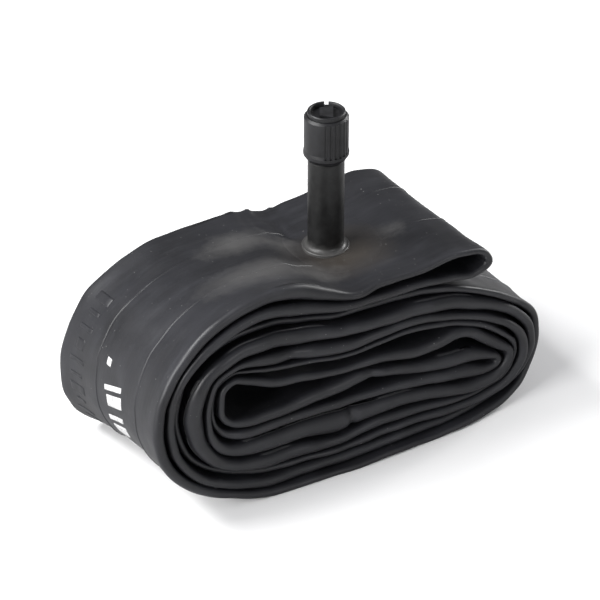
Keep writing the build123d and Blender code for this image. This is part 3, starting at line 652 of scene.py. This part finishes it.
def patch_faces():
    """The patch's upper side, its underside, and the rims that join them outside and inside."""
    rings = len(PATCH_RINGS)
    count = rings * PATCH_SIDES
    inner = (rings - 1) * PATCH_SIDES
    faces = ring_faces(rings, PATCH_SIDES, closed=False)
    faces += [tuple(count + i for i in reversed(f)) for f in faces]
    for j in range(PATCH_SIDES):
        k = (j + 1) % PATCH_SIDES
        faces.append((j, count + j, count + k, k))
        faces.append((inner + k, count + inner + k, count + inner + j, inner + j))
    return faces


patch_sides = np.vstack([patch_points(PATCH_LIFTS), patch_points([PATCH_UNDERSIDE] * len(PATCH_RINGS))])
patch = mesh_object("patch_skin", patch_sides, patch_faces(), PATCH_RUBBER)
strand_uv(patch, patch_sides[:, :2])
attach(patch, "tube")
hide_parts("valve_patch")


# ------------------------------------------------------------------ plain marks on the skin
# Rows of a bar's points, as shares of its half length and half width.
BAR_ALONG = np.array([-1, -0.94, -0.6, -0.2, 0.2, 0.6, 0.94, 1])
BAR_ACROSS = np.array([-1, -0.86, -0.3, 0.3, 0.86, 1])
BAR_RIM = -0.01               # a bar's rim and its underside lie just under the skin
BAR_UNDERSIDE = -0.08


def mark(points, faces, arc, across, length, width, slant, lift):
    """Adds one plain bar that follows the skin, with eased edges, to the points and faces."""
    u = BAR_ALONG * length / 2
    v = BAR_ACROSS * width / 2
    uu, vv = np.meshgrid(u, v, indexing="ij")
    rim = np.ones(uu.shape)
    rim[[0, -1], :] = 0
    rim[:, [0, -1]] = 0
    at, over = arc + uu + slant * vv, across + vv
    ground = uneven(at, over)
    top = skin_point(at.ravel(), over.ravel(), (ground + lift * rim + BAR_RIM).ravel())
    low = skin_point(at.ravel(), over.ravel(), (ground + BAR_UNDERSIDE).ravel())
    first = sum(len(p) for p in points)
    wide = len(v)
    cell = [(i * wide + j, (i + 1) * wide + j, (i + 1) * wide + j + 1, i * wide + j + 1)
            for i in range(len(u) - 1) for j in range(wide - 1)]
    under = len(top)
    faces += [tuple(first + q for q in f) for f in cell]
    faces += [tuple(first + under + q for q in reversed(f)) for f in cell]
    border = [i * wide for i in range(len(u))] + [(len(u) - 1) * wide + j for j in range(1, wide)]
    border += [i * wide + wide - 1 for i in range(len(u) - 2, -1, -1)]
    border += list(range(wide - 2, 0, -1))
    for a, b in zip(border, border[1:] + border[:1]):
        faces.append((first + b, first + a, first + under + a, first + under + b))
    points += [top, low]


def marks(name, bars, lift, material):
    """One piece made of many plain bars."""
    points, faces = [], []
    for bar in bars:
        mark(points, faces, *bar, lift)
    points = np.vstack(points)
    made = mesh_object(name, points, faces, material)
    strand_uv(made, points[:, :2])
    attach(made, "tube")


# A worn print of plain slanted bars on the left end, and a moulded band of raised bars behind it.
# Each bar: (arc length, distance from the front edge, length, width, slant).
PRINT_BARS = [
    (99.5, 22.0, 1.5, 7.6, 0.35), (103.0, 21.6, 3.4, 7.0, 0.35), (108.4, 22.2, 1.5, 7.2, 0.35),
    (112.0, 21.8, 3.2, 6.6, 0.35), (117.0, 22.0, 1.5, 6.8, 0.35), (121.0, 22.0, 3.4, 6.2, 0.35),
    (94.0, 25.0, 1.9, 1.9, 0.0),
]
RAISED_FIRST, RAISED_PITCH, RAISED_COUNT = 84, 4.1, 10
RAISED_ACROSS, RAISED_SLANT = 38.4, 0.1
RAISED_LENGTHS = (2.6, 1.1, 1.1)
RAISED_WIDTHS = (6.2, 4.6, 5.6, 3.4)
RAISED_BARS = [
    (
        RAISED_FIRST + RAISED_PITCH * k, RAISED_ACROSS,
        RAISED_LENGTHS[k % len(RAISED_LENGTHS)], RAISED_WIDTHS[k % len(RAISED_WIDTHS)], RAISED_SLANT,
    )
    for k in range(RAISED_COUNT)
]
PRINT_LIFT = 0.10
RAISED_LIFT = 0.16
marks("print_bars", PRINT_BARS, PRINT_LIFT, INK)
marks("raised_bars", RAISED_BARS, RAISED_LIFT, BUTYL)

# ------------------------------------------------------------------ materials on the CAD nodes
for name, material in {
    "stem_rubber": STEM_RUBBER, "stem_insert": BRASS, "core_plug": BRASS, "core_barrel": BRASS,
    "barrel_gasket": GASKET, "core_pin": BRASS, "core_cup": BRASS, "cup_gasket": SEAL_RUBBER,
    "cap_shell": CAP_PLASTIC, "cap_seal": SEAL_RUBBER,
}.items():
    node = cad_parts[name]
    node.data.materials.clear()
    node.data.materials.append(material)

# ------------------------------------------------------------------ core spring
SPRING_LOW = VALVE_Z + 20.8   # the barrel's floor, which holds the coil's lower end
SPRING_HIGH = VALVE_Z + 26.2  # the pin's collar, which carries the upper end down
COIL_RADIUS = 0.85
WIRE_RADIUS = 0.14
COILS = 7.0
END_TURN = 0.12               # share of the wire that lies in each flat end turn
END_RISE = 0.05               # and the share of the height which that turn climbs
COIL_STEPS = 280
WIRE_SIDES = 10


def spring_points():
    """A coil whose first and last turns lie almost flat, as ground spring ends do."""
    share = np.linspace(0, 1, COIL_STEPS)
    rise = np.interp(share, [0, END_TURN, 1 - END_TURN, 1], [0, END_RISE, 1 - END_RISE, 1])
    low, high = SPRING_LOW + WIRE_RADIUS, SPRING_HIGH - WIRE_RADIUS
    angle = 2 * math.pi * COILS * share
    centre = np.column_stack([
        VALVE_X + COIL_RADIUS * np.cos(angle), COIL_RADIUS * np.sin(angle), low + (high - low) * rise,
    ])
    out = np.column_stack([np.cos(angle), np.sin(angle), 0 * angle])
    up = np.array([0.0, 0.0, 1.0])
    wire = np.linspace(0, 2 * math.pi, WIRE_SIDES, endpoint=False)
    return np.concatenate([
        [c + WIRE_RADIUS * (math.cos(w) * o + math.sin(w) * up) for w in wire] for c, o in zip(centre, out)
    ])


faces = ring_faces(COIL_STEPS, WIRE_SIDES, closed=False)
last_ring = (COIL_STEPS - 1) * WIRE_SIDES
faces += [tuple(range(WIRE_SIDES))[::-1], tuple(range(last_ring, last_ring + WIRE_SIDES))]
spring = mesh_object("spring_coil", spring_points() * MM, faces, STEEL)
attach(spring, "pin")
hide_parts("core_spring")
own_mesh(spring)

# ------------------------------------------------------------------ floor, light and camera
FLOOR_SIZE = 6.0              # in metres
FLOOR_LIT = (0.52, 0.52, 0.52, 1)     # what the floor throws back onto the part
FLOOR_SEEN = (0.95, 0.95, 0.95, 1)    # what the camera sees of it
FLOOR_ROUGHNESS = 0.9
SKY_LOW = (0.10, 0.10, 0.10, 1)
SKY_HIGH = (0.36, 0.36, 0.375, 1)
SKY_HIGH_FROM = 0.9           # the sky has its upper shade from here up, where 1 is overhead

floor_mesh = bpy.data.meshes.new("floor")
half = FLOOR_SIZE / 2
corners = [(-half, -half, 0), (half, -half, 0), (half, half, 0), (-half, half, 0)]
floor_mesh.from_pydata(corners, [], [(0, 1, 2, 3)])
floor = bpy.data.objects.new("floor", floor_mesh)
bpy.context.scene.collection.objects.link(floor)
n = Nodes("floor_paper")
seen = n.add("ShaderNodeLightPath").outputs["Is Camera Ray"]
floor_mesh.materials.append(n.finish(n.mix(seen, FLOOR_LIT, FLOOR_SEEN), FLOOR_ROUGHNESS))

world = bpy.data.worlds.new("studio")
bpy.context.scene.world = world
world.use_nodes = True
sky = world.node_tree
direction = sky.nodes.new("ShaderNodeTexCoord")
split = sky.nodes.new("ShaderNodeSeparateXYZ")
sky.links.new(direction.outputs["Generated"], split.inputs[0])
height_of_sky = sky.nodes.new("ShaderNodeValToRGB")
height_of_sky.color_ramp.elements[0].position = 0.0
height_of_sky.color_ramp.elements[0].color = SKY_LOW
height_of_sky.color_ramp.elements[1].position = SKY_HIGH_FROM
height_of_sky.color_ramp.elements[1].color = SKY_HIGH
sky.links.new(split.outputs[2], height_of_sky.inputs[0])
sky.links.new(height_of_sky.outputs[0], sky.nodes["Background"].inputs[0])
sky.nodes["Background"].inputs[1].default_value = 1.0


def softbox(name, position, target, width, height, power):
    """A rectangular lamp aimed at a target, in metres and watts."""
    lamp = bpy.data.lights.new(name, "AREA")
    lamp.shape = "RECTANGLE"
    lamp.size = width
    lamp.size_y = height
    lamp.energy = power
    made = bpy.data.objects.new(name, lamp)
    made.location = position
    made.rotation_euler = (Vector(target) - Vector(position)).to_track_quat("-Z", "Y").to_euler()
    bpy.context.scene.collection.objects.link(made)


MIDDLE = (0.0, 0.0, 0.03)     # about the middle of the roll
softbox("key", (-0.88, -0.16, 0.42), MIDDLE, 0.5, 0.55, 10.5)
softbox("top", (-0.60, 0.30, 0.80), MIDDLE, 0.45, 0.3, 9.5)
softbox("front", (0.15, -0.95, 0.35), MIDDLE, 0.5, 0.3, 1.6)
softbox("rim", (0.85, 0.10, 0.35), MIDDLE, 0.2, 0.6, 5.0)

AZIMUTH = math.radians(-30.9)         # from straight in front, towards the left
ELEVATION = math.radians(33.2)
DISTANCE = 0.600
PIVOT = Vector((-ROLL_MIDDLE_X, 0.0, -REST_Z)) * MM
SHIFT_RIGHT, SHIFT_UP = 1.9 * MM, 9.7 * MM
VIEW_WIDTH = 0.1385           # width of the picture at the roll's distance
FIELD_OF_VIEW = 2 * math.atan(VIEW_WIDTH / 2 / DISTANCE)
right = Vector((math.cos(AZIMUTH), math.sin(AZIMUTH), 0))
towards = Vector((
    math.sin(AZIMUTH) * math.cos(ELEVATION), -math.cos(AZIMUTH) * math.cos(ELEVATION), math.sin(ELEVATION),
))
upward = towards.cross(right)
camera_data = bpy.data.cameras.new("camera")
camera_data.angle = FIELD_OF_VIEW
camera_data.clip_start = 0.01
camera = bpy.data.objects.new("camera", camera_data)
camera.location = PIVOT + towards * DISTANCE + right * SHIFT_RIGHT + upward * SHIFT_UP
camera.rotation_euler = towards.to_track_quat("Z", "Y").to_euler()
bpy.context.scene.collection.objects.link(camera)
bpy.context.scene.camera = camera
bpy.context.scene.view_settings.view_transform = "Standard"
